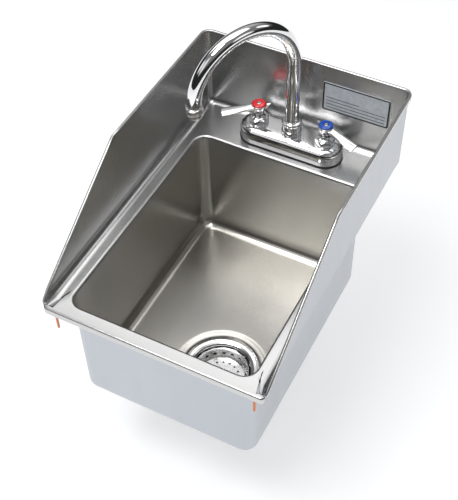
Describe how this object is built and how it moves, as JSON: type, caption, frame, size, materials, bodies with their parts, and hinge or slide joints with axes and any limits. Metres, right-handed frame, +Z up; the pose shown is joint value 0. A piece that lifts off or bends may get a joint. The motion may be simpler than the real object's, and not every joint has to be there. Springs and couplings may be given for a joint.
{
  "type": "drop-in hand sink",
  "caption": "Stainless drop-in hand sink with coved bowl, back and sloped side splashes, swivelling gooseneck faucet with two levers, and a lift-out basket strainer.",
  "frame": {"origin": "on the underside of the front rim, at the middle of the sink's width, in the plane that rests on the counter", "axes": "+Z up, +Y from the front lip towards the back splash, +X to the right as seen from the front"},
  "size_m": [0.3108, 0.4424, 0.5665],
  "materials": {
    "brushed_steel": "brushed satin sheet",
    "chrome": "polished plating",
    "brass": "plain machined",
    "copper_flash": "copper-flashed steel",
    "black_rubber": "matt",
    "fibre": "dry fibre",
    "white_plastic": "matt",
    "plate_silver": "satin, printed border",
    "index_red": "gloss",
    "index_blue": "gloss"
  },
  "bodies": {
    "sink": {"cold_bonnet": "chrome", "cold_cartridge": "brass", "cold_locknut": "brass", "cold_shank": "brass", "cold_shank_washer": "black_rubber", "deck_and_splash": "brushed_steel", "faucet_base_gasket": "black_rubber", "faucet_body": "chrome", "friction_washer": "fibre", "hot_bonnet": "chrome", "hot_cartridge": "brass", "hot_locknut": "brass", "hot_shank": "brass", "hot_shank_washer": "black_rubber", "nameplate": "plate_silver", "sink_bowl": "brushed_steel", "spout_adapter": "chrome", "spout_nut": "chrome", "spout_o_ring": "black_rubber", "strainer_body": "chrome", "strainer_gasket": "black_rubber", "strainer_locknut": "brass", "tailpiece": "chrome", "tailpiece_nut": "chrome", "tailpiece_washer": "black_rubber", "weld_stud_front_left": "copper_flash", "weld_stud_front_right": "copper_flash", "weld_stud_rear_left": "copper_flash", "weld_stud_rear_right": "copper_flash"},
    "hot_lever": {"hot_handle": "chrome", "hot_index_ring": "index_red", "hot_handle_screw": "chrome", "hot_spindle": "brass"},
    "cold_lever": {"cold_handle": "chrome", "cold_index_ring": "index_blue", "cold_handle_screw": "chrome", "cold_spindle": "brass"},
    "spout": {"spout_tube": "chrome", "aerator_housing": "chrome", "aerator_screen": "white_plastic", "aerator_washer": "black_rubber"},
    "basket": {"basket_cup": "chrome"},
    "stopper": {"basket_post": "chrome", "basket_stopper": "black_rubber"}
  },
  "joints": [
    {"name": "hot_turn", "type": "hinge", "parent": "sink", "child": "hot_lever", "pos_m": [-0.0508, 0.3935, 0.05], "axis": [0, 0, 1], "range_deg": [-37, 53]},
    {"name": "cold_turn", "type": "hinge", "parent": "sink", "child": "cold_lever", "pos_m": [0.0508, 0.3935, 0.05], "axis": [0, 0, 1], "range_deg": [-69, 21]},
    {"name": "spout_swivel", "type": "hinge", "parent": "sink", "child": "spout", "pos_m": [0, 0.3935, 0.1], "axis": [0, 0, 1], "continuous": true},
    {"name": "basket_lift", "type": "slide", "parent": "sink", "child": "basket", "axis": [0, 0, 1], "range_m": [0, 0.235]},
    {"name": "stopper_slide", "type": "slide", "parent": "basket", "child": "stopper", "axis": [0, 0, 1], "range_m": [-0.003, 0]}
  ]
}
